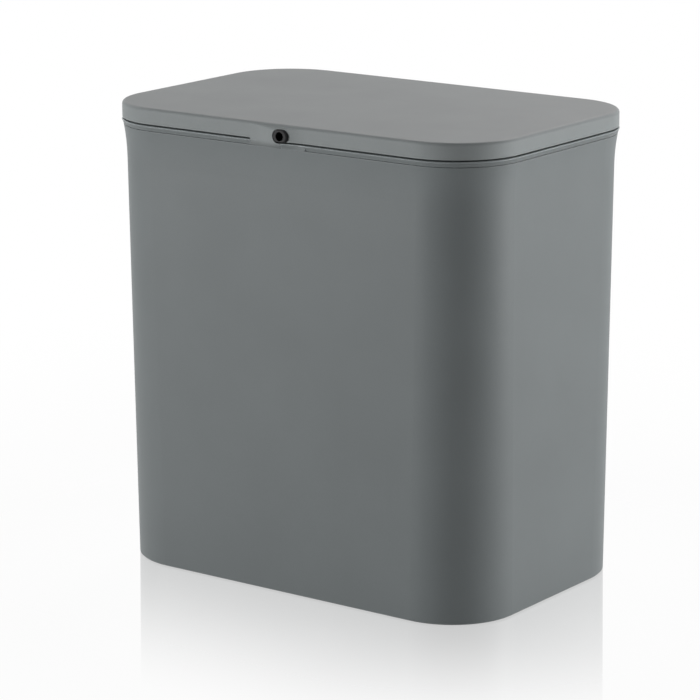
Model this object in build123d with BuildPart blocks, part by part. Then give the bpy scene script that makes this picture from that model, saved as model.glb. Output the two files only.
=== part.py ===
from build123d import *
import os

# Hanging cabinet bin, in millimetres.
# +X runs along the long side, the front faces -Y, the door side faces +Y, +Z is up.
# The origin is the middle of the underside.

# Plan of the lid
lid_length = 280.0
lid_depth = 181.8
lid_corner_radius = 42.8

# Heights that stack on each other from the rim up
rim_height = 273.2
flange_thickness = 2.0
seam_gap = 1.0
lid_height = 9.8

# Lid
lid_wall = 2.2
lid_edge_radius = 2.2
lid_rib_depth = 2.8
lid_rib_thickness = 1.4
lid_rib_margin = 8.0
lid_rib_rows = 3
lid_rib_columns = 5

# Frame ring
collar_proud = 0.3
collar_drop = 1.1
collar_wall = 2.1
collar_lean = 1.1
collar_edge_chamfer = 0.5
mouth_inset = 12.3
lip_height = 2.1
lip_wall = 1.8
plug_depth = 17.0
plug_wall = 1.8
plug_clearance = 0.5

# Body
base_length = 271.2
base_depth = 174.8
base_corner_radius = 43.3
body_wall = 2.2
floor_thickness = 2.6
foot_width = 7.0
foot_height = 1.0
foot_edge_chamfer = 0.9
inner_edge_chamfer = 7.0
flare_height = 21.8
flare_start_inset = 2.96
flare_radius = 125.0
flare_steps = 4
ledge_gap = 0.3
rim_clearance = 0.3

# Swelling at the middle of the front edge, shared by the lid and the ring
swell_centre = 0.5
swell_half_width = 20.0
swell_proud = 2.7
swell_end_share = 0.55
swell_below_top = 1.7
swell_root = 1.0
swell_steps = 5

# Lap of the lid that hangs in a notch of the collar, left of the eye
lap_back_clearance = 0.4
lap_side_clearance = 0.2

# Eye in the swelling and its bush
eye_offset = 3.6
eye_width = 10.8
eye_height = 8.4
bush_proud = 0.3
bush_edge_chamfer = 0.8
bush_bore_radius = 2.7
bush_fit = 0.05
bush_flange_thickness = 1.2
bush_flange_overlap = 2.2
bush_flange_height = 7.0
bush_flange_lift = 0.2
bush_flange_radius = 2.0

# Hinge
hinge_spacing = 140.0
hinge_barrel_radius = 3.0
hinge_pin_radius = 1.5
hinge_pin_clearance = 0.06
hinge_press_clearance = 0.01
hinge_skirt_gap = 0.4
hinge_above_flange = 2.7
lid_knuckle_width = 11.2
ring_knuckle_width = 5.0
knuckle_gap = 0.4
knuckle_root = 0.5
knuckle_lift = 0.3

# Square rubber stops under the lid, bonded to cross-shaped posts
buffer_width = 5.8
buffer_height = 3.0
buffer_post_web = 1.8
buffer_spacing = 160.0

# Hanger channel on the back of the body
channel_bottom = 160.0
channel_height = 66.0
channel_low_width = 54.0
channel_high_width = 48.0
channel_depth = 4.0
channel_wall = 3.0
channel_stand_off = 0.6
neck_low_width = 30.0
neck_high_width = 26.0
slot_short_of_top = 7.0
hanger_corner_radius = 4.0

# Bracket on the door
bracket_clearance = 0.3
bracket_plate_thickness = 3.0
bracket_plate_gap = 3.0
bracket_plate_width = 96.0
bracket_plate_above = 8.0
bracket_plate_below = 26.0
bracket_corner_radius = 8.0
bracket_rim_height = 4.0
bracket_rim_width = 2.4
bracket_boss_radius = 6.4
bracket_rib_width = 1.8
bracket_rib_inset = 1.0
screw_hole_radius = 2.25
screw_spacing_x = 80.0
screw_spacing_z = 78.0

# Rubber buffers on the back
bumper_spacing = 140.0
bumper_height = 34.0
bumper_radius = 8.0
bumper_thickness = 4.0
bumper_stem_radius = 3.0
bumper_stem_length = 6.0
bumper_stem_clearance = 0.1

# Worked out from the sizes above
collar_length = lid_length + 2 * collar_proud
collar_depth = lid_depth + 2 * collar_proud
collar_corner_radius = lid_corner_radius + collar_proud
collar_top = rim_height + flange_thickness
collar_bottom = rim_height - collar_drop
ledge_height = collar_bottom - ledge_gap
flare_start = ledge_height - flare_height
lid_bottom = collar_top + seam_gap
lid_top = lid_bottom + lid_height
lid_roof_under = lid_top - lid_wall
floor_top = foot_height + floor_thickness
front_face = -lid_depth / 2
rear_face = lid_depth / 2

flare_length = collar_length - 2 * flare_start_inset
flare_depth = collar_depth - 2 * flare_start_inset
flare_corner_radius = collar_corner_radius - flare_start_inset
rim_inset = collar_wall + rim_clearance
plug_length = flare_length - 2 * body_wall - 2 * plug_clearance
plug_depth_y = flare_depth - 2 * body_wall - 2 * plug_clearance
plug_corner_radius = flare_corner_radius - body_wall - plug_clearance

swell_bottom = collar_bottom
swell_top = lid_top - swell_below_top
eye_x = swell_centre + eye_offset
eye_z = collar_top + eye_height / 2
bush_front = front_face - swell_proud - bush_proud
bush_seat = front_face + lid_wall
lap_left = swell_centre - swell_half_width
lap_right = eye_x
lap_width = lap_right - lap_left
lap_back = collar_wall - lap_back_clearance - collar_depth / 2
lap_profile = [
    (collar_lean - collar_depth / 2, collar_bottom),
    (-collar_depth / 2, collar_top),
    (front_face, lid_bottom),
    (lap_back, lid_bottom),
    (lap_back, collar_bottom),
]
rib_field_length = collar_length - 2 * (mouth_inset + lid_rib_margin)
rib_field_depth = collar_depth - 2 * (mouth_inset + lid_rib_margin)

hinge_y = rear_face + hinge_skirt_gap + hinge_barrel_radius
hinge_z = collar_top + hinge_above_flange
pin_length = lid_knuckle_width + 2 * (knuckle_gap + ring_knuckle_width)
ring_web = [
    (collar_depth / 2 - collar_lean - knuckle_root, collar_bottom),
    (hinge_y, collar_bottom),
    (hinge_y + hinge_barrel_radius, hinge_z),
    (hinge_y - hinge_barrel_radius, hinge_z),
    (hinge_y - hinge_barrel_radius, collar_top),
    (collar_depth / 2 - collar_lean - knuckle_root, collar_top),
]
lid_web = [
    (rear_face - knuckle_root, lid_bottom + knuckle_lift),
    (hinge_y, lid_bottom + knuckle_lift),
    (hinge_y, hinge_z + hinge_barrel_radius),
    (rear_face - knuckle_root, hinge_z + hinge_barrel_radius + knuckle_lift),
]

stop_y = (collar_depth / 2 - mouth_inset + lip_wall + lid_depth / 2 - lid_wall) / 2

channel_top = channel_bottom + channel_height
channel_front = max(base_depth, flare_depth) / 2 + channel_stand_off
channel_rear = channel_front + channel_depth
hanger_rear = channel_rear + channel_wall
slot_top = channel_top - slot_short_of_top
rim_front = hanger_rear + bracket_plate_gap
plate_front = rim_front + bracket_rim_height
door_plane = plate_front + bracket_plate_thickness
plate_bottom = channel_bottom - bracket_plate_below
plate_top = channel_top + bracket_plate_above
plate_height = plate_top - plate_bottom
bumper_seat = door_plane - bumper_thickness
wall_root = min(base_depth, flare_depth) / 2 - body_wall / 2
screw_z = (plate_bottom + plate_top) / 2


def collar_outline(inset, mode=Mode.ADD):
    """Rounded rectangle that lies inset from the outside of the collar."""
    length = collar_length - 2 * inset
    depth = collar_depth - 2 * inset
    RectangleRounded(length, depth, collar_corner_radius - inset, mode=mode)


def body_outline(height, inset=0.0):
    """Rounded rectangle of the body wall at a height, less an inset."""
    share = min(height, flare_start) / flare_start
    flare = max(height - flare_start, 0.0) ** 2 / (2 * flare_radius)
    length = base_length + share * (flare_length - base_length) + 2 * flare
    depth = base_depth + share * (flare_depth - base_depth) + 2 * flare
    radius = base_corner_radius + share * (flare_corner_radius - base_corner_radius) + flare
    RectangleRounded(length - 2 * inset, depth - 2 * inset, radius - inset)


def tapered_face(low_width, high_width, low, high):
    """Flat face that narrows upwards, on a plane whose second axis is +Z."""
    corners = [(-low_width / 2, low), (low_width / 2, low), (high_width / 2, high), (-high_width / 2, high)]
    Polygon(*corners, align=None)


def upright(y):
    """Vertical plane at a depth, with +X across and +Z up. Extruding by a minus amount goes to +Y."""
    return Plane.XZ.offset(-y)


def across(x):
    """Vertical plane at a place along the long side, with +Y across and +Z up. Extruding goes to +X."""
    return Plane.YZ.offset(x)


def front_swelling():
    """Soft bulge of the front edge, fullest at mid height and thinner towards its top and bottom."""
    middle = (swell_bottom + swell_top) / 2
    half_height = (swell_top - swell_bottom) / 2
    root_y = front_face + swell_root
    left = swell_centre - swell_half_width
    right = swell_centre + swell_half_width
    with BuildPart() as bulge:
        for step in range(-swell_steps, swell_steps + 1, 2):
            share = step / swell_steps
            height = middle + half_height * share
            fullness = swell_end_share + (1 - swell_end_share) * (1 - share**4)
            crest = (swell_centre, front_face - swell_proud * fullness)
            with BuildSketch(Plane.XY.offset(height)):
                with BuildLine():
                    Spline((left, front_face), crest, (right, front_face), tangents=[(1, 0), (1, 0)])
                    Polyline((right, front_face), (right, root_y), (left, root_y), (left, front_face))
                make_face()
        loft()
    return bulge.part


# Inside of the bin, as one tool body
with BuildPart() as cavity:
    for height, inset in (
        (floor_top, body_wall + inner_edge_chamfer),
        (floor_top + inner_edge_chamfer, body_wall),
        (flare_start, body_wall),
    ):
        with BuildSketch(Plane.XY.offset(height)):
            body_outline(height, inset)
    loft(ruled=True)
    with BuildSketch(Plane.XY.offset(flare_start)):
        body_outline(flare_start, body_wall)
    with BuildSketch(Plane.XY.offset(rim_height)):
        collar_outline(rim_inset + body_wall)
    loft(ruled=True)

# Body: drafted wall, concave flare, ledge and rim, with the hanger channel and buffer bosses behind
with BuildPart() as bin_body:
    for height, inset in ((0.0, foot_edge_chamfer), (foot_edge_chamfer, 0.0), (flare_start, 0.0)):
        with BuildSketch(Plane.XY.offset(height)):
            body_outline(height, inset)
    loft(ruled=True)

    for step in range(flare_steps + 1):
        height = flare_start + (ledge_height - flare_start) * step / flare_steps
        with BuildSketch(Plane.XY.offset(height)):
            body_outline(height)
    loft()

    with BuildSketch(Plane.XY.offset(ledge_height)):
        collar_outline(rim_inset)
    extrude(amount=rim_height - ledge_height)

    # Housing of the hanger channel, and the bosses that carry the rubber buffers
    with BuildSketch(upright(hanger_rear)) as housing:
        tapered_face(
            channel_low_width + 2 * channel_wall,
            channel_high_width + 2 * channel_wall,
            channel_bottom,
            channel_top + channel_wall,
        )
        fillet(housing.vertices().group_by(Axis.Y)[-1], hanger_corner_radius)
    extrude(amount=hanger_rear - wall_root)
    with BuildSketch(upright(bumper_seat)):
        with Locations((0, bumper_height)):
            with GridLocations(bumper_spacing, 1, 2, 1):
                Circle(bumper_radius)
    extrude(amount=bumper_seat - wall_root)

    add(cavity.part, mode=Mode.SUBTRACT)

    # Recess that leaves a standing edge under the floor
    with BuildSketch(Plane.XY):
        body_outline(0.0, foot_width)
    extrude(amount=foot_height, mode=Mode.SUBTRACT)

    # Channel for the tongue of the door bracket, open below, with a slot in its rear wall
    with BuildSketch(upright(channel_rear)):
        tapered_face(channel_low_width, channel_high_width, channel_bottom, channel_top)
    extrude(amount=channel_depth, mode=Mode.SUBTRACT)
    with BuildSketch(upright(hanger_rear)) as slot:
        tapered_face(neck_low_width, neck_high_width, channel_bottom, slot_top)
        fillet(slot.vertices().group_by(Axis.Y)[-1], hanger_corner_radius)
    extrude(amount=channel_wall, mode=Mode.SUBTRACT)

    # Hollow bosses: a bore for the stem of each rubber buffer
    with BuildSketch(upright(bumper_seat)):
        with Locations((0, bumper_height)):
            with GridLocations(bumper_spacing, 1, 2, 1):
                Circle(bumper_stem_radius + bumper_stem_clearance)
    extrude(amount=bumper_stem_length + bumper_stem_clearance, mode=Mode.SUBTRACT)
bin_body.part.label = "bin_body"

# Frame ring: collar band, flange, inner lip, the plug that drops into the mouth, and hinge knuckles
with BuildPart() as frame_ring:
    for height, inset in (
        (collar_bottom, collar_lean),
        (collar_top - collar_edge_chamfer, 0.0),
        (collar_top, collar_edge_chamfer),
    ):
        with BuildSketch(Plane.XY.offset(height)):
            collar_outline(inset)
    loft(ruled=True)
    with BuildSketch(Plane.XY.offset(collar_bottom)):
        collar_outline(collar_wall)
    extrude(amount=collar_drop, mode=Mode.SUBTRACT)

    # Swelling up to the seam, then the notch for the lap of the lid
    add(front_swelling())
    with BuildSketch(Plane.XY.offset(collar_top)):
        with Locations((swell_centre, front_face - swell_proud)):
            Rectangle(4 * swell_half_width, 4 * swell_proud)
    extrude(amount=lid_height, mode=Mode.SUBTRACT)
    with BuildSketch(Plane.XY.offset(collar_bottom)):
        with Locations((lap_left - lap_side_clearance, collar_wall - collar_depth / 2)):
            Rectangle(lap_width + 2 * lap_side_clearance, 4 * swell_proud, align=(Align.MIN, Align.MAX))
    extrude(amount=lid_height, mode=Mode.SUBTRACT)

    # Plug
    with BuildSketch(Plane.XY.offset(rim_height - plug_depth)):
        RectangleRounded(plug_length, plug_depth_y, plug_corner_radius)
    extrude(amount=plug_depth)
    with BuildSketch(Plane.XY.offset(rim_height - plug_depth)):
        RectangleRounded(
            plug_length - 2 * plug_wall, plug_depth_y - 2 * plug_wall, plug_corner_radius - plug_wall
        )
    extrude(amount=plug_depth, mode=Mode.SUBTRACT)

    # Lip round the mouth
    with BuildSketch(Plane.XY.offset(rim_height)):
        collar_outline(mouth_inset - lip_wall)
    extrude(amount=flange_thickness + lip_height)
    with BuildSketch(Plane.XY.offset(rim_height)):
        collar_outline(mouth_inset)
    extrude(amount=flange_thickness + lip_height, mode=Mode.SUBTRACT)

    # Two knuckles for each hinge
    for side in (-1, 1):
        for outer in (-1, 1):
            from_middle = lid_knuckle_width / 2 + knuckle_gap + ring_knuckle_width / 2
            knuckle_x = side * hinge_spacing / 2 + outer * from_middle
            with BuildSketch(across(knuckle_x - ring_knuckle_width / 2)):
                with Locations((hinge_y, hinge_z)):
                    Circle(hinge_barrel_radius)
                Polygon(*ring_web, align=None)
            extrude(amount=ring_knuckle_width)
    with BuildSketch(across(-lid_length / 2)):
        with Locations((hinge_y, hinge_z)):
            Circle(hinge_pin_radius + hinge_press_clearance)
    extrude(amount=lid_length, mode=Mode.SUBTRACT)
frame_ring.part.label = "frame_ring"

# Lid: flat cap with a rounded top edge, ribs underneath, and the eye in its front swelling
with BuildPart() as lid:
    with BuildSketch(Plane.XY.offset(lid_bottom)):
        RectangleRounded(lid_length, lid_depth, lid_corner_radius)
    extrude(amount=lid_height)
    fillet(lid.faces().sort_by(Axis.Z)[-1].edges(), lid_edge_radius)
    with BuildSketch(Plane.XY.offset(lid_bottom)):
        RectangleRounded(lid_length - 2 * lid_wall, lid_depth - 2 * lid_wall, lid_corner_radius - lid_wall)
    extrude(amount=lid_height - lid_wall, mode=Mode.SUBTRACT)

    # Swelling with its lap, cut away below the seam on the right of the eye
    add(front_swelling())
    with BuildSketch(across(lap_left)):
        Polygon(*lap_profile, align=None)
    extrude(amount=lap_width)
    with BuildSketch(Plane.XY.offset(swell_bottom)):
        with Locations((lap_right, front_face)):
            Rectangle(2 * swell_half_width, 4 * swell_proud, align=(Align.MIN, Align.CENTER))
    extrude(amount=lid_bottom - swell_bottom, mode=Mode.SUBTRACT)

    # Ribs under the roof, within the lip of the ring
    with BuildSketch(Plane.XY.offset(lid_roof_under - lid_rib_depth)):
        with GridLocations(1, rib_field_depth / (lid_rib_rows - 1), 1, lid_rib_rows):
            Rectangle(rib_field_length, lid_rib_thickness)
        with GridLocations(rib_field_length / (lid_rib_columns - 1), 1, lid_rib_columns, 1):
            Rectangle(lid_rib_thickness, rib_field_depth)
    extrude(amount=lid_rib_depth)

    # Posts for the rubber stops
    with BuildSketch(Plane.XY.offset(collar_top + buffer_height)):
        with GridLocations(buffer_spacing, 2 * stop_y, 2, 2):
            Rectangle(buffer_width, buffer_post_web)
            Rectangle(buffer_post_web, buffer_width)
    extrude(amount=lid_roof_under - collar_top - buffer_height)

    # One knuckle between each pair on the ring
    for side in (-1, 1):
        with BuildSketch(across(side * hinge_spacing / 2 - lid_knuckle_width / 2)):
            with Locations((hinge_y, hinge_z)):
                Circle(hinge_barrel_radius)
            Polygon(*lid_web, align=None)
        extrude(amount=lid_knuckle_width)
    with BuildSketch(across(-lid_length / 2)):
        with Locations((hinge_y, hinge_z)):
            Circle(hinge_pin_radius + hinge_pin_clearance)
    extrude(amount=lid_length, mode=Mode.SUBTRACT)

    # Eye
    with BuildSketch(upright(bush_seat)):
        with Locations((eye_x, eye_z)):
            SlotOverall(eye_width, eye_height)
    extrude(amount=lid_wall + 2 * swell_proud, mode=Mode.SUBTRACT)
lid.part.label = "lid"

# Bush that lines the eye, flat where it meets the seam, with its flange behind the front wall
with BuildPart() as eyelet_bush:
    with BuildSketch(upright(bush_seat)):
        with Locations((eye_x, eye_z)):
            SlotOverall(eye_width - 2 * bush_fit, eye_height - 2 * bush_fit)
        with Locations((eye_x, lid_bottom)):
            Rectangle(eye_width, eye_height, align=(Align.CENTER, Align.MAX), mode=Mode.SUBTRACT)
    extrude(amount=bush_seat - bush_front)
    chamfer(eyelet_bush.faces().sort_by(Axis.Y)[0].edges().sort_by(Axis.Z)[1:], bush_edge_chamfer)
    with BuildSketch(upright(bush_seat)):
        with Locations((eye_x, lid_bottom + bush_flange_lift)):
            RectangleRounded(
                eye_width + 2 * bush_flange_overlap,
                bush_flange_height,
                bush_flange_radius,
                align=(Align.CENTER, Align.MIN),
            )
    extrude(amount=-bush_flange_thickness)
    with BuildSketch(upright(bush_seat + bush_flange_thickness)):
        with Locations((eye_x, eye_z)):
            Circle(bush_bore_radius)
    extrude(amount=bush_flange_thickness + bush_seat - bush_front, mode=Mode.SUBTRACT)
eyelet_bush.part.label = "eyelet_bush"

# Door bracket: ribbed plate that is screwed on, with a neck and a tapered tongue that the bin hangs on
with BuildPart() as door_bracket:
    with BuildSketch(upright(door_plane)):
        with Locations((0, screw_z)):
            RectangleRounded(bracket_plate_width, plate_height, bracket_corner_radius)
    extrude(amount=bracket_plate_thickness)
    with BuildSketch(upright(plate_front)):
        with Locations((0, screw_z)):
            RectangleRounded(bracket_plate_width, plate_height, bracket_corner_radius)
            RectangleRounded(
                bracket_plate_width - 2 * bracket_rim_width,
                plate_height - 2 * bracket_rim_width,
                bracket_corner_radius - bracket_rim_width,
                mode=Mode.SUBTRACT,
            )
            with GridLocations(screw_spacing_x, screw_spacing_z, 2, 2):
                Circle(bracket_boss_radius)
    extrude(amount=bracket_rim_height)

    # Ribs from the neck to the rim, upright and across
    with BuildSketch(upright(plate_front)):
        with Locations((0, screw_z)):
            with GridLocations(neck_low_width - bracket_rib_width, 1, 2, 1):
                Rectangle(bracket_rib_width, plate_height - bracket_rim_width)
        with Locations((0, slot_top - hanger_corner_radius), (0, channel_bottom)):
            Rectangle(bracket_plate_width - bracket_rim_width, bracket_rib_width)
    extrude(amount=bracket_rim_height - bracket_rib_inset)

    # Neck and tongue, a clearance smaller than their slot and channel
    with BuildSketch(upright(plate_front)) as neck:
        tapered_face(
            neck_low_width - 2 * bracket_clearance,
            neck_high_width - 2 * bracket_clearance,
            channel_bottom,
            slot_top - bracket_clearance,
        )
        fillet(neck.vertices().group_by(Axis.Y)[-1], hanger_corner_radius)
    extrude(amount=plate_front - channel_rear + bracket_clearance)
    with BuildSketch(upright(channel_rear - bracket_clearance)):
        tapered_face(
            channel_low_width - 2 * bracket_clearance,
            channel_high_width - 2 * bracket_clearance,
            channel_bottom,
            channel_top - bracket_clearance,
        )
    extrude(amount=channel_depth - 2 * bracket_clearance)
    with BuildSketch(upright(door_plane)):
        with Locations((0, screw_z)):
            with GridLocations(screw_spacing_x, screw_spacing_z, 2, 2):
                Circle(screw_hole_radius)
    extrude(amount=door_plane - rim_front, mode=Mode.SUBTRACT)
door_bracket.part.label = "door_bracket"

pieces = [bin_body.part, frame_ring.part, lid.part, eyelet_bush.part, door_bracket.part]

for side, name in ((-1, "left"), (1, "right")):
    # Hinge pin
    with BuildPart() as hinge_pin:
        with BuildSketch(across(side * hinge_spacing / 2 - pin_length / 2)):
            with Locations((hinge_y, hinge_z)):
                Circle(hinge_pin_radius)
        extrude(amount=pin_length)
    hinge_pin.part.label = f"hinge_pin_{name}"
    pieces.append(hinge_pin.part)

    # Rubber buffer that bears on the door
    with BuildPart() as rear_bumper:
        with BuildSketch(upright(door_plane)):
            with Locations((side * bumper_spacing / 2, bumper_height)):
                Circle(bumper_radius)
        extrude(amount=bumper_thickness)
        with BuildSketch(upright(bumper_seat)):
            with Locations((side * bumper_spacing / 2, bumper_height)):
                Circle(bumper_stem_radius)
        extrude(amount=bumper_stem_length)
    rear_bumper.part.label = f"rear_bumper_{name}"
    pieces.append(rear_bumper.part)

    # Rubber stops under the lid, one at the front and one at the rear
    for end, place in ((-1, "front"), (1, "rear")):
        with BuildPart() as lid_buffer:
            with BuildSketch(Plane.XY.offset(collar_top)):
                with Locations((side * buffer_spacing / 2, end * stop_y)):
                    Rectangle(buffer_width, buffer_width)
            extrude(amount=buffer_height)
        lid_buffer.part.label = f"lid_buffer_{place}_{name}"
        pieces.append(lid_buffer.part)

os.makedirs("parts", exist_ok=True)
for piece in pieces:
    export_step(piece, f"parts/{piece.label}.step")
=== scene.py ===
"""Hanging cabinet bin: the finish of each moulding and fitting, the floor, the lamps and the camera.

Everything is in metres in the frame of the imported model: +X along the long side, the front faces -Y and
+Z is up.
"""

import math
import bmesh
import bpy
from bpy.props import FloatProperty, FloatVectorProperty, PointerProperty
from mathutils import Matrix, Vector


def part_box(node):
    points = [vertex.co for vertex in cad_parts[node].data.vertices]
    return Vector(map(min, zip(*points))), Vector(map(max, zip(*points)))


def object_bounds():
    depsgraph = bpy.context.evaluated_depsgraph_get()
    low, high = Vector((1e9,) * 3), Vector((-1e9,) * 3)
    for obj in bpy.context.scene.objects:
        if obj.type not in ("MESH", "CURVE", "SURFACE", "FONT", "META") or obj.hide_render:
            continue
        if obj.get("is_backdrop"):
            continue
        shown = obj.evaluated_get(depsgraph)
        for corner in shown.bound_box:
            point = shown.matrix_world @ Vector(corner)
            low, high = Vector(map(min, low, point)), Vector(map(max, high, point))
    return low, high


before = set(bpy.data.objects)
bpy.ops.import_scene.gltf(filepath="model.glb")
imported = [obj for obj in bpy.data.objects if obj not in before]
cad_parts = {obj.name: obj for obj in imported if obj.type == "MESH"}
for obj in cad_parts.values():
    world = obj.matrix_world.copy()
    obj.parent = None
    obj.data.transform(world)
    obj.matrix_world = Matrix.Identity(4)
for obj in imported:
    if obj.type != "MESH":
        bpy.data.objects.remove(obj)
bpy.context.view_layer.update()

bl_info = {
    "name": "Hanging cabinet bin",
    "version": (1, 0, 0),
    "blender": (4, 5, 0),
    "location": "View3D > Sidebar > Cabinet bin",
    "description": "Finishes the mouldings of a hanging cabinet bin and sets up its studio",
    "category": "Object",
}

MM = 0.001
WHITE = (1.0, 1.0, 1.0)

# Point that the lamps and the camera aim at
MIDDLE = Vector((0.0, 0.0, 140 * MM))

# Rounded rectangle in which the bin stands on the floor
FOOT_HALF_LENGTH = 135.6 * MM
FOOT_HALF_DEPTH = 87.4 * MM
FOOT_CORNER = 43.3 * MM

# Floor: its gap under the bin, its grey, and its mirror, which starts to fade inside the foot
FLOOR_GAP = 0.1 * MM
FLOOR_GREY = 0.86
MIRROR_ROUGHNESS = 0.02
MIRROR_START = -30 * MM

# Where each lamp hangs: degrees to the right of the front, and degrees above the floor
LEFT_LAMP = (-36.0, 8.5)
RIGHT_LAMP = (122.0, 8.5)
BACK_LAMP = (-165.0, 40.0)
BACK_LEFT_LAMP = (-120.0, 40.0)

# Width of the camera's sensor in millimetres
SENSOR_WIDTH = 36.0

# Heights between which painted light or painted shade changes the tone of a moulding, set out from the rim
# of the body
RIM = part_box("bin_body")[1].z
# Flare of the body: painted light, lighter above
FLARE_LOW = RIM - 27.2 * MM
FLARE_HIGH = RIM - 7.2 * MM
# Top of the collar: painted highlight above
COLLAR_LOW = RIM + 1.3 * MM
COLLAR_HIGH = RIM + 1.8 * MM
# Lower edge of the lid's lap: painted shade below
LAP_LOW = RIM - 1.1 * MM
LAP_HIGH = RIM + 3.2 * MM

# Flow marks of the moulded plastic: their stretch on each axis, and their width as a share of a cloud's
FLOW_STRETCH = (1.0, 1.0, 0.35)
FLOW_WIDTH = 0.4

# Blotches of the moulded plastic: the share that clouds make up, with grain for the rest, and their range
CLOUD_SHARE = 0.6
BLOTCH_LOW = 0.3
BLOTCH_HIGH = 0.7

# How far the roughness of the moulded plastic swings with the flow and the grain, and drops on an edge
FLOW_ROUGHNESS = 0.04
GRAIN_ROUGHNESS = 0.10
EDGE_POLISH = 0.08

# Turn of the rounded normal where an edge starts to show and shows fully, as 1 less its cosine
EDGE_START = 0.002
EDGE_FULL = 0.06

# Rays that feel for an edge at each point
EDGE_SAMPLES = 6


class Value:
    """The output of a shader node. Python arithmetic on it adds Math nodes, so masks read as formulas."""

    def __init__(self, shader, socket):
        self.shader = shader
        self.socket = socket

    def math(self, operation, *values):
        """Result of one Math node on the values, in the order given."""
        return self.shader.node("ShaderNodeMath", {"operation": operation}, dict(enumerate(values)))

    def __add__(self, other):
        return self.math("ADD", self, other)

    def __radd__(self, other):
        return self.math("ADD", other, self)

    def __sub__(self, other):
        return self.math("SUBTRACT", self, other)

    def __rsub__(self, other):
        return self.math("SUBTRACT", other, self)

    def __mul__(self, other):
        return self.math("MULTIPLY", self, other)

    def __rmul__(self, other):
        return self.math("MULTIPLY", other, self)

    def __abs__(self):
        return self.math("ABSOLUTE", self)

    def largest(self, other):
        """The larger of this value and another."""
        return self.math("MAXIMUM", self, other)

    def smallest(self, other):
        """The smaller of this value and another."""
        return self.math("MINIMUM", self, other)

    def root(self):
        """Square root."""
        return self.math("SQRT", self)

    def swing(self, width):
        """Turns a value from 0 to 1 into a swing of the given width, half of it to either side of zero."""
        return (self - 0.5) * width

    def between(self, low, high):
        """0 at low and below, 1 at high and above, and a smooth step in between."""
        inputs = {"Value": self, "From Min": low, "From Max": high}
        return self.shader.node("ShaderNodeMapRange", {"interpolation_type": "SMOOTHSTEP"}, inputs)


class Shader:
    """The node tree of a material or of the room, with one method that adds any node."""

    def __init__(self, owner):
        owner.use_nodes = True
        self.owner = owner
        self.tree = owner.node_tree
        self.tree.nodes.clear()

    def node(self, kind, settings=None, inputs=None, output=0):
        """Adds a node. Settings are set first, then each input gets its number or its link."""
        node = self.tree.nodes.new(kind)
        for name, value in (settings or {}).items():
            setattr(node, name, value)
        for name, value in (inputs or {}).items():
            socket = node.inputs[name]
            if isinstance(value, Value):
                self.tree.links.new(value.socket, socket)
            else:
                socket.default_value = value
        return Value(self, node.outputs[output]) if node.outputs else None

    def outputs(self, kind, *names, inputs=None):
        """Several outputs of one new node."""
        node = self.node(kind, inputs=inputs).socket.node
        return [Value(self, node.outputs[name]) for name in names]

    def position(self):
        """Position on the piece, in metres."""
        return self.node("ShaderNodeTexCoord", output="Object")

    def looked_at(self):
        """Two masks of what is looked at: straight only, and straight, in a mirror or through glass."""
        straight, mirrored, through = self.outputs(
            "ShaderNodeLightPath", "Is Camera Ray", "Is Glossy Ray", "Is Transmission Ray"
        )
        return straight, (straight + mirrored + through).smallest(1.0)

    def noise(self, coordinates, size, detail=2.0, roughness=0.5):
        """Noise from 0 to 1 whose blotches are about size metres across."""
        inputs = {"Vector": coordinates, "Scale": 1 / size, "Detail": detail, "Roughness": roughness}
        return self.node("ShaderNodeTexNoise", inputs=inputs, output="Fac")

    def stretched(self, coordinates, factors):
        """Coordinates multiplied axis by axis, for marks that run one way."""
        return self.node("ShaderNodeVectorMath", {"operation": "MULTIPLY"}, {0: coordinates, 1: factors})

    def scaled(self, colour, factor):
        """Colour made lighter or darker by a factor."""
        return self.node("ShaderNodeVectorMath", {"operation": "SCALE"}, {0: colour, "Scale": factor})

    def mix(self, share, first, second):
        """Colour that goes from the first to the second as share goes from 0 to 1."""
        inputs = {"Factor": share, 6: first, 7: second}
        return self.node("ShaderNodeMix", {"data_type": "RGBA"}, inputs, output=2)

    def edges(self, radius):
        """Rounded normal at sharp edges, and a mask that is 1 on those edges and 0 on flat faces."""
        rounded = self.node("ShaderNodeBevel", {"samples": EDGE_SAMPLES}, {"Radius": radius})
        normal = self.node("ShaderNodeNewGeometry", output="Normal")
        cosine = self.node(
            "ShaderNodeVectorMath", {"operation": "DOT_PRODUCT"}, {0: rounded, 1: normal}, output="Value"
        )
        return rounded, (1 - cosine).between(EDGE_START, EDGE_FULL)

    def bump(self, height, depth, **inputs):
        """Normal roughened by a height from 0 to 1 that stands for depth metres."""
        return self.node("ShaderNodeBump", inputs={"Height": height, "Distance": depth, **inputs})

    def surface(self, **inputs):
        """Ends the tree in a Principled surface. Input names have underscores for spaces."""
        named = {name.replace("_", " "): value for name, value in inputs.items()}
        self.end(self.node("ShaderNodeBsdfPrincipled", inputs=named))

    def end(self, surface, kind="ShaderNodeOutputMaterial"):
        """Links a surface, or a background, to the output."""
        self.node(kind, inputs={"Surface": surface})


def tint(colour, share):
    """Colour made lighter or darker by a share, as four numbers for a colour socket."""
    return (*(channel * share for channel in colour), 1.0)


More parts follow.
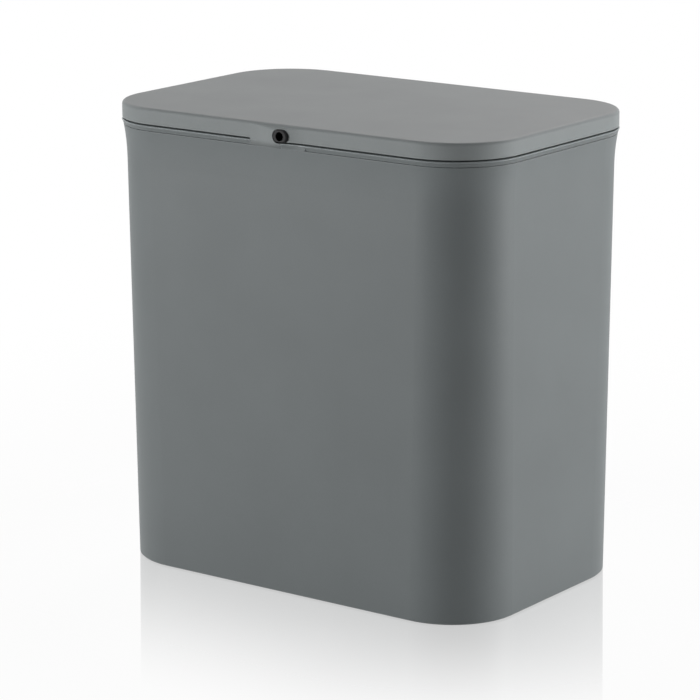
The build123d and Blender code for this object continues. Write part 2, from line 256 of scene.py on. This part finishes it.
def moulded_plastic(name, settings, colour, shine, wear_and_highlight_on_edges, low=(0.0, 1.0), high=(1.0, 1.0)):
    """Matte moulded plastic: fine mould grain, faint flow clouds, and edges a little smoother and lighter,
    the lighter part partly wear and partly painted highlight.

    low and high are each a height and the tone there, with a smooth step in between, which paints light or
    shade by height.
    """
    shader = Shader(bpy.data.materials.new(name))
    coordinates = shader.position()
    grain = shader.noise(coordinates, settings.grain_size, detail=3.0, roughness=0.6)
    clouds = shader.noise(coordinates, settings.cloud_size, detail=3.0)
    flow = shader.noise(shader.stretched(coordinates, FLOW_STRETCH), settings.cloud_size * FLOW_WIDTH)
    rounded, edge = shader.edges(settings.edge_radius)
    height = shader.outputs("ShaderNodeSeparateXYZ", "Z", inputs={0: coordinates})[0]

    blotches = (clouds * CLOUD_SHARE + grain * (1 - CLOUD_SHARE)).between(BLOTCH_LOW, BLOTCH_HIGH)
    darker = tint(colour, 1 - settings.variation)
    lighter = tint(colour, 1 + settings.variation)
    # Lighter edges: partly wear, partly painted highlight where the light catches them
    worn = tint(colour, settings.worn_and_lit_edge_factor)
    grey = shader.mix(edge * wear_and_highlight_on_edges, shader.mix(blotches, darker, lighter), worn)

    # Tone by height: painted light or painted shade between the two heights
    (low_height, low_tone), (high_height, high_tone) = low, high
    tone = low_tone + height.between(low_height, high_height) * (high_tone - low_tone)
    swings = flow.swing(FLOW_ROUGHNESS) + grain.swing(GRAIN_ROUGHNESS)
    shader.surface(
        Base_Color=shader.scaled(grey, tone),
        Roughness=settings.roughness + swings - edge * EDGE_POLISH,
        Specular_IOR_Level=shine,
        Normal=shader.bump(grain, settings.grain_depth, Normal=rounded),
    )
    return shader


def finish_nodes(shader, *nodes):
    """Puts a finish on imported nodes, in place of the plain one they came with."""
    for node in nodes:
        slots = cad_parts[node].data.materials
        slots.clear()
        slots.append(shader.owner)


def toward(azimuth, elevation):
    """Unit vector from the bin to a place round it. Azimuth 0 is the front and turns to the right."""
    level = math.cos(elevation)
    return Vector((math.sin(azimuth) * level, -math.cos(azimuth) * level, math.sin(elevation)))


class PlasticSettings(bpy.types.PropertyGroup):
    """Grey moulded plastic of the body, the frame ring, the lid and the bracket"""

    colour: FloatVectorProperty(
        name="Colour",
        description="Grey of the body and the bracket",
        subtype="COLOR",
        size=3,
        min=0.0,
        max=1.0,
        default=(0.148, 0.165, 0.168),
    )
    ring_colour: FloatVectorProperty(
        name="Ring colour",
        description="Grey of the frame ring",
        subtype="COLOR",
        size=3,
        min=0.0,
        max=1.0,
        default=(0.152, 0.169, 0.172),
    )
    lid_colour: FloatVectorProperty(
        name="Lid colour",
        description="Lighter grey of the lid",
        subtype="COLOR",
        size=3,
        min=0.0,
        max=1.0,
        default=(0.253, 0.274, 0.276),
    )
    roughness: FloatProperty(
        name="Roughness",
        description="Roughness of the matte grain",
        subtype="FACTOR",
        min=0.0,
        max=1.0,
        default=0.52,
    )
    shine: FloatProperty(
        name="Shine",
        description="Strength of the reflections in the body, ring and bracket",
        subtype="FACTOR",
        min=0.0,
        max=1.0,
        default=0.35,
    )
    lid_shine: FloatProperty(
        name="Lid shine",
        description="Strength of the reflections in the lid",
        subtype="FACTOR",
        min=0.0,
        max=1.0,
        default=0.15,
    )
    grain_size: FloatProperty(
        name="Grain size",
        description="Width of one pit of the grain",
        unit="LENGTH",
        min=0.0,
        default=0.8 * MM,
    )
    grain_depth: FloatProperty(
        name="Grain depth",
        description="Depth of the grain",
        unit="LENGTH",
        min=0.0,
        default=0.03 * MM,
    )
    cloud_size: FloatProperty(
        name="Cloud size",
        description="Width of the faint clouds left by the flow of the plastic",
        unit="LENGTH",
        min=0.0,
        default=60 * MM,
    )
    variation: FloatProperty(
        name="Variation",
        description="How far the grey varies",
        subtype="FACTOR",
        min=0.0,
        max=1.0,
        default=0.045,
    )
    # Painted light: how many times lighter the top of the body by the flare is painted
    flare_painted_light_tone: FloatProperty(
        name="Flare tone",
        description="How many times lighter the handled top of the body is",
        min=0.0,
        default=1.08,
    )
    # Painted highlight: how many times lighter the frame ring is painted from the top of the collar up
    collar_highlight_tone: FloatProperty(
        name="Collar tone",
        description="How many times lighter the rubbed top of the frame ring is",
        min=0.0,
        default=1.5,
    )
    # Painted shade: the tone painted on the lower edge of the lid's lap, where 1 is unshaded
    lap_shade_tone: FloatProperty(
        name="Lap tone",
        description="Tone of the soiled lower edge of the lid's lap, where 1 is clean",
        subtype="FACTOR",
        min=0.0,
        max=1.0,
        default=0.62,
    )
    edge_radius: FloatProperty(
        name="Edge radius",
        description="Rounding that light finds on sharp edges",
        unit="LENGTH",
        min=0.0,
        default=0.75 * MM,
    )
    # Partly wear, partly painted highlight: how many times lighter a fully worn and lit edge is painted
    worn_and_lit_edge_factor: FloatProperty(
        name="Edge tone",
        description="How many times lighter than the plastic a fully worn edge is",
        min=1.0,
        default=2.0,
    )
    # Partly wear, partly painted highlight on the edges of the body, lid and bracket
    wear_and_highlight_on_edges: FloatProperty(
        name="Edge wear",
        description="How far the edges of the body, lid and bracket are worn",
        subtype="FACTOR",
        min=0.0,
        max=1.0,
        default=0.3,
    )
    # Painted highlight, with some wear: how far the edges of the frame ring are painted lighter
    ring_wear_and_highlight_on_edges: FloatProperty(
        name="Ring edge wear",
        description="How far the handled edges of the frame ring are worn",
        subtype="FACTOR",
        min=0.0,
        max=1.0,
        default=1.0,
    )


class FittingSettings(bpy.types.PropertyGroup):
    """Bush of the eye, rubber stops, rubber bumpers and hinge pins"""

    bush_colour: FloatVectorProperty(
        name="Bush",
        description="Colour of the bush in the eye",
        subtype="COLOR",
        size=3,
        min=0.0,
        max=1.0,
        default=(0.012, 0.012, 0.013),
    )
    bush_roughness: FloatProperty(
        name="Bush roughness",
        description="Roughness of the bush in the eye",
        subtype="FACTOR",
        min=0.0,
        max=1.0,
        default=0.42,
    )
    rubber_colour: FloatVectorProperty(
        name="Rubber",
        description="Colour of the rubber stops and bumpers",
        subtype="COLOR",
        size=3,
        min=0.0,
        max=1.0,
        default=(0.028, 0.028, 0.030),
    )
    rubber_roughness: FloatProperty(
        name="Rubber roughness",
        description="Roughness of the rubber stops and bumpers",
        subtype="FACTOR",
        min=0.0,
        max=1.0,
        default=0.78,
    )
    steel_colour: FloatVectorProperty(
        name="Steel",
        description="Colour of the hinge pins",
        subtype="COLOR",
        size=3,
        min=0.0,
        max=1.0,
        default=(0.60, 0.60, 0.61),
    )
    steel_roughness: FloatProperty(
        name="Steel roughness",
        description="Roughness of the hinge pins between their draw lines",
        subtype="FACTOR",
        min=0.0,
        max=1.0,
        default=0.24,
    )


class StageSettings(bpy.types.PropertyGroup):
    """Floor, lamps and camera"""

    floor_size: FloatProperty(
        name="Floor size",
        description="Side of the square floor",
        unit="LENGTH",
        min=1.0,
        default=14.0,
    )
    mirror_share: FloatProperty(
        name="Mirror",
        description="Share of mirror in the floor next to the bin",
        subtype="FACTOR",
        min=0.0,
        max=1.0,
        default=0.44,
    )
    mirror_reach: FloatProperty(
        name="Mirror reach",
        description="How far from the bin the mirror has faded out",
        unit="LENGTH",
        min=0.01,
        default=0.19,
    )
    shadow_share: FloatProperty(
        name="Shadow",
        description="Share of the floor next to the bin that takes its shadow",
        subtype="FACTOR",
        min=0.0,
        max=1.0,
        default=0.06,
    )
    shadow_reach: FloatProperty(
        name="Shadow reach",
        description="How far from the bin its shadow has faded out",
        unit="LENGTH",
        min=0.01,
        default=0.60,
    )
    ambient: FloatProperty(
        name="Ambient",
        description="Light from the room on the object",
        subtype="FACTOR",
        min=0.0,
        default=0.06,
    )
    lamp_size: FloatProperty(
        name="Lamp size",
        description="Side of each soft lamp",
        unit="LENGTH",
        min=0.01,
        default=0.8,
    )
    lamp_distance: FloatProperty(
        name="Lamp distance",
        description="From each lamp to the bin",
        unit="LENGTH",
        min=0.1,
        default=2.5,
    )
    left_power: FloatProperty(
        name="Left lamp",
        description="Power of the soft lamp at the front left",
        unit="POWER",
        min=0.0,
        default=38.0,
    )
    right_power: FloatProperty(
        name="Right lamp",
        description="Power of the soft lamp at the rear right",
        unit="POWER",
        min=0.0,
        default=50.0,
    )
    back_power: FloatProperty(
        name="Back lamp",
        description="Power of the soft lamp above the back",
        unit="POWER",
        min=0.0,
        default=22.0,
    )
    back_left_power: FloatProperty(
        name="Back left lamp",
        description="Power of the soft lamp above the left of the back",
        unit="POWER",
        min=0.0,
        default=11.5,
    )
    back_light: FloatVectorProperty(
        name="Back light",
        description="Colour of the two lamps above the back",
        subtype="COLOR",
        size=3,
        min=0.0,
        max=1.0,
        default=(1.0, 0.95, 0.95),
    )
    camera_azimuth: FloatProperty(
        name="Azimuth",
        description="Turn of the camera to the right of the front",
        subtype="ANGLE",
        default=math.radians(35.97),
    )
    camera_elevation: FloatProperty(
        name="Elevation",
        description="Angle of the camera above the floor",
        subtype="ANGLE",
        default=math.radians(13.52),
    )
    camera_distance: FloatProperty(
        name="Distance",
        description="From the camera to the middle of the bin",
        unit="LENGTH",
        min=0.1,
        default=1.9982,
    )
    camera_roll: FloatProperty(
        name="Roll",
        description="Turn of the camera about its own view",
        subtype="ANGLE",
        default=math.radians(-0.12),
    )
    camera_shift: FloatVectorProperty(
        name="Shift",
        description="Share of the frame that the view is moved by",
        size=2,
        default=(-0.02724, -0.01584),
    )
    lens: FloatProperty(
        name="Lens",
        description="Focal length on a 36 mm sensor, in millimetres",
        min=1.0,
        default=167.715,
    )


class CABINET_BIN_OT_finish_body(bpy.types.Operator):
    """Give the body its grained grey plastic, with painted light making the top of the flare a little
    lighter
    """

    bl_idname = "cabinet_bin.finish_body"
    bl_label = "Finish body"

    def execute(self, context):
        settings = context.scene.cabinet_bin_plastic
        shader = moulded_plastic(
            "body_plastic",
            settings,
            settings.colour,
            settings.shine,
            settings.wear_and_highlight_on_edges,
            # Painted light: lighter towards the rim of the flare
            low=(FLARE_LOW, 1.0),
            high=(FLARE_HIGH, settings.flare_painted_light_tone),
        )
        finish_nodes(shader, "bin_body")
        return {"FINISHED"}


class CABINET_BIN_OT_finish_ring(bpy.types.Operator):
    """Give the frame ring its plastic, with a painted highlight from the top of the collar up"""

    bl_idname = "cabinet_bin.finish_ring"
    bl_label = "Finish frame ring"

    def execute(self, context):
        settings = context.scene.cabinet_bin_plastic
        shader = moulded_plastic(
            "ring_plastic",
            settings,
            settings.ring_colour,
            settings.shine,
            # Painted highlight on the edges of the frame ring
            settings.ring_wear_and_highlight_on_edges,
            low=(COLLAR_LOW, 1.0),
            high=(COLLAR_HIGH, settings.collar_highlight_tone),
        )
        finish_nodes(shader, "frame_ring")
        return {"FINISHED"}


class CABINET_BIN_OT_finish_lid(bpy.types.Operator):
    """Give the lid a lighter grey plastic, with painted shade at the lower edge of the lap"""

    bl_idname = "cabinet_bin.finish_lid"
    bl_label = "Finish lid"

    def execute(self, context):
        settings = context.scene.cabinet_bin_plastic
        shader = moulded_plastic(
            "lid_plastic",
            settings,
            settings.lid_colour,
            settings.lid_shine,
            settings.wear_and_highlight_on_edges,
            # Painted shade: darker towards the lower edge of the lap
            low=(LAP_LOW, settings.lap_shade_tone),
            high=(LAP_HIGH, 1.0),
        )
        finish_nodes(shader, "lid")
        return {"FINISHED"}


class CABINET_BIN_OT_finish_bracket(bpy.types.Operator):
    """Give the door bracket the plastic of the body"""

    bl_idname = "cabinet_bin.finish_bracket"
    bl_label = "Finish bracket"

    def execute(self, context):
        settings = context.scene.cabinet_bin_plastic
        shader = moulded_plastic(
            "bracket_plastic", settings, settings.colour, settings.shine, settings.wear_and_highlight_on_edges
        )
        finish_nodes(shader, "door_bracket")
        return {"FINISHED"}


class CABINET_BIN_OT_finish_bush(bpy.types.Operator):
    """Give the bush of the eye its black plastic, with a painted highlight on its edges"""

    bl_idname = "cabinet_bin.finish_bush"
    bl_label = "Finish bush"

    def execute(self, context):
        settings = context.scene.cabinet_bin_fittings
        darker = tint(settings.bush_colour, 0.7)
        lighter = tint(settings.bush_colour, 2.2)
        grain_size = 0.5 * MM
        grain_depth = 0.01 * MM
        grain_roughness = 0.1
        edge_radius = 0.35 * MM
        edge_polish = 0.14

        shader = Shader(bpy.data.materials.new("black_bush_plastic"))
        grain = shader.noise(shader.position(), grain_size)
        rounded, edge = shader.edges(edge_radius)
        shader.surface(
            # Painted highlight: edges mixed towards the lighter black; the grain adds lighter speckle too
            Base_Color=shader.mix((grain + edge) * 0.5, darker, lighter),
            Roughness=settings.bush_roughness + grain.swing(grain_roughness) - edge * edge_polish,
            Specular_IOR_Level=0.15,
            Normal=shader.bump(grain, grain_depth, Normal=rounded),
        )
        finish_nodes(shader, "eyelet_bush")
        return {"FINISHED"}


class CABINET_BIN_OT_finish_rubber(bpy.types.Operator):
    """Give the stops under the lid and the bumpers on the back their dull rubber"""

    bl_idname = "cabinet_bin.finish_rubber"
    bl_label = "Finish rubber"

    def execute(self, context):
        settings = context.scene.cabinet_bin_fittings
        darker = tint(settings.rubber_colour, 0.85)
        lighter = tint(settings.rubber_colour, 2.0)
        grain_size = 0.6 * MM
        grain_depth = 0.03 * MM
        grain_roughness = 0.16
        bloom_size = 5 * MM
        edge_radius = 0.5 * MM

        shader = Shader(bpy.data.materials.new("dull_rubber"))
        coordinates = shader.position()
        grain = shader.noise(coordinates, grain_size, detail=3.0)
        bloom = shader.noise(coordinates, bloom_size)
        rounded, edge = shader.edges(edge_radius)
        shader.surface(
            Base_Color=shader.mix((bloom + edge) * 0.5, darker, lighter),
            Roughness=settings.rubber_roughness + grain.swing(grain_roughness),
            Specular_IOR_Level=0.35,
            Normal=shader.bump(grain, grain_depth, Normal=rounded),
        )
        rubbers = [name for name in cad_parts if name.startswith(("lid_buffer", "rear_bumper"))]
        finish_nodes(shader, *rubbers)
        return {"FINISHED"}


class CABINET_BIN_OT_finish_pins(bpy.types.Operator):
    """Give the hinge pins their drawn steel"""

    bl_idname = "cabinet_bin.finish_pins"
    bl_label = "Finish hinge pins"

    def execute(self, context):
        settings = context.scene.cabinet_bin_fittings
        darker = tint(settings.steel_colour, 0.85)
        lighter = tint(settings.steel_colour, 1.1)
        line_width = 0.25 * MM
        line_depth = 0.01 * MM
        line_roughness = 0.14
        along_pin = (0.04, 1.0, 1.0)

        shader = Shader(bpy.data.materials.new("drawn_steel"))
        lines = shader.noise(shader.stretched(shader.position(), along_pin), line_width, detail=3.0)
        shader.surface(
            Base_Color=shader.mix(lines, darker, lighter),
            Metallic=1.0,
            Roughness=settings.steel_roughness + lines * line_roughness,
            Normal=shader.bump(lines, line_depth),
        )
        finish_nodes(shader, "hinge_pin_left", "hinge_pin_right")
        return {"FINISHED"}


class CABINET_BIN_OT_place_stage(bpy.types.Operator):
    """Lay the white floor, light the room, hang the lamps and point the camera"""

    bl_idname = "cabinet_bin.place_stage"
    bl_label = "Place stage"

    def execute(self, context):
        scene = context.scene
        stage = scene.cabinet_bin_stage
        self.lay_floor(scene, stage)
        self.light_room(scene, stage)
        for name, place, power, colour in (
            ("lamp_left", LEFT_LAMP, stage.left_power, WHITE),
            ("lamp_right", RIGHT_LAMP, stage.right_power, WHITE),
            ("lamp_back", BACK_LAMP, stage.back_power, stage.back_light),
            ("lamp_back_left", BACK_LEFT_LAMP, stage.back_left_power, stage.back_light),
        ):
            self.hang_lamp(scene, stage, name, place, power, colour)
        self.point_camera(scene, stage)
        scene.view_settings.view_transform = "Standard"
        return {"FINISHED"}

    def lay_floor(self, scene, stage):
        """White floor that mirrors the bin next to it and takes a faint shadow."""
        mesh = bpy.data.meshes.new("floor")
        shape = bmesh.new()
        bmesh.ops.create_grid(shape, x_segments=4, y_segments=4, size=stage.floor_size / 2)
        shape.to_mesh(mesh)
        shape.free()
        floor = bpy.data.objects.new("floor", mesh)
        scene.collection.objects.link(floor)
        floor.location.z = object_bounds()[0][2] - FLOOR_GAP

        shader = Shader(bpy.data.materials.new("white_gloss_floor"))
        x, y = shader.outputs("ShaderNodeSeparateXYZ", "X", "Y", inputs={0: shader.position()})
        past_x = (abs(x) - (FOOT_HALF_LENGTH - FOOT_CORNER)).largest(0.0)
        past_y = (abs(y) - (FOOT_HALF_DEPTH - FOOT_CORNER)).largest(0.0)
        distance = (past_x * past_x + past_y * past_y).root() - FOOT_CORNER
        straight, seen = shader.looked_at()
        mirror_near = 1 - distance.between(MIRROR_START, stage.mirror_reach)
        shadow_near = 1 - distance.between(0.0, stage.shadow_reach)
        mirror_share = mirror_near * stage.mirror_share * straight
        shadow_share = shadow_near * stage.shadow_share

        white = tint(WHITE, 1.0)
        plain = shader.node("ShaderNodeBsdfDiffuse", inputs={"Color": tint(WHITE, FLOOR_GREY)})
        glow = shader.node("ShaderNodeEmission", inputs={"Color": white, "Strength": 1.0})
        mirror = shader.node("ShaderNodeBsdfGlossy", inputs={"Color": white, "Roughness": MIRROR_ROUGHNESS})
        lit = shader.node("ShaderNodeMixShader", inputs={0: seen * (1 - shadow_share), 1: plain, 2: glow})
        shader.end(shader.node("ShaderNodeMixShader", inputs={0: mirror_share, 1: lit, 2: mirror}))
        mesh.materials.append(shader.owner)
        floor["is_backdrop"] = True

    def light_room(self, scene, stage):
        """White room for whatever looks at it, and a low even light on the object."""
        scene.world = bpy.data.worlds.new("room")
        shader = Shader(scene.world)
        seen = shader.looked_at()[1]
        white = tint(WHITE, 1.0)
        low = shader.node("ShaderNodeBackground", inputs={"Color": white, "Strength": stage.ambient})
        full = shader.node("ShaderNodeBackground", inputs={"Color": white, "Strength": 1.0})
        mixed = shader.node("ShaderNodeMixShader", inputs={0: seen, 1: low, 2: full})
        shader.end(mixed, "ShaderNodeOutputWorld")

    def hang_lamp(self, scene, stage, name, place, power, colour):
        """Soft square lamp that points at the middle of the bin."""
        lamp = bpy.data.lights.new(name, "AREA")
        lamp.size = stage.lamp_size
        lamp.energy = power
        lamp.color = colour
        hung = bpy.data.objects.new(name, lamp)
        scene.collection.objects.link(hung)
        direction = toward(*map(math.radians, place))
        hung.location = MIDDLE + direction * stage.lamp_distance
        hung.rotation_euler = direction.to_track_quat("Z", "Y").to_euler()
        hung.visible_camera = False

    def point_camera(self, scene, stage):
        """Long lens at the height and angle of a product picture."""
        camera = bpy.data.cameras.new("camera")
        camera.lens = stage.lens
        camera.sensor_width = SENSOR_WIDTH
        camera.shift_x, camera.shift_y = stage.camera_shift
        holder = bpy.data.objects.new("camera", camera)
        scene.collection.objects.link(holder)
        direction = toward(stage.camera_azimuth, stage.camera_elevation)
        roll = Matrix.Rotation(stage.camera_roll, 3, "Z")
        holder.location = MIDDLE + direction * stage.camera_distance
        holder.rotation_euler = (direction.to_track_quat("Z", "Y").to_matrix() @ roll).to_euler()
        scene.camera = holder


OPERATORS = (
    CABINET_BIN_OT_finish_body,
    CABINET_BIN_OT_finish_ring,
    CABINET_BIN_OT_finish_lid,
    CABINET_BIN_OT_finish_bracket,
    CABINET_BIN_OT_finish_bush,
    CABINET_BIN_OT_finish_rubber,
    CABINET_BIN_OT_finish_pins,
    CABINET_BIN_OT_place_stage,
)


class CABINET_BIN_PT_panel(bpy.types.Panel):
    """Settings and steps of the cabinet bin"""

    bl_label = "Cabinet bin"
    bl_space_type = "VIEW_3D"
    bl_region_type = "UI"
    bl_category = "Cabinet bin"

    def draw(self, context):
        scene = context.scene
        for title, settings in (
            ("Plastic", scene.cabinet_bin_plastic),
            ("Fittings", scene.cabinet_bin_fittings),
            ("Stage", scene.cabinet_bin_stage),
        ):
            box = self.layout.box()
            box.label(text=title)
            for name in settings.__annotations__:
                box.prop(settings, name)
        for operator in OPERATORS:
            self.layout.operator(operator.bl_idname)


CLASSES = (PlasticSettings, FittingSettings, StageSettings, *OPERATORS, CABINET_BIN_PT_panel)


def register():
    for item in CLASSES:
        bpy.utils.register_class(item)
    bpy.types.Scene.cabinet_bin_plastic = PointerProperty(type=PlasticSettings)
    bpy.types.Scene.cabinet_bin_fittings = PointerProperty(type=FittingSettings)
    bpy.types.Scene.cabinet_bin_stage = PointerProperty(type=StageSettings)


def unregister():
    del bpy.types.Scene.cabinet_bin_plastic
    del bpy.types.Scene.cabinet_bin_fittings
    del bpy.types.Scene.cabinet_bin_stage
    for item in reversed(CLASSES):
        bpy.utils.unregister_class(item)


def main():
    register()
    bpy.ops.cabinet_bin.finish_body()
    bpy.ops.cabinet_bin.finish_ring()
    bpy.ops.cabinet_bin.finish_lid()
    bpy.ops.cabinet_bin.finish_bracket()
    bpy.ops.cabinet_bin.finish_bush()
    bpy.ops.cabinet_bin.finish_rubber()
    bpy.ops.cabinet_bin.finish_pins()
    bpy.ops.cabinet_bin.place_stage()


if __name__ == "__main__":
    main()
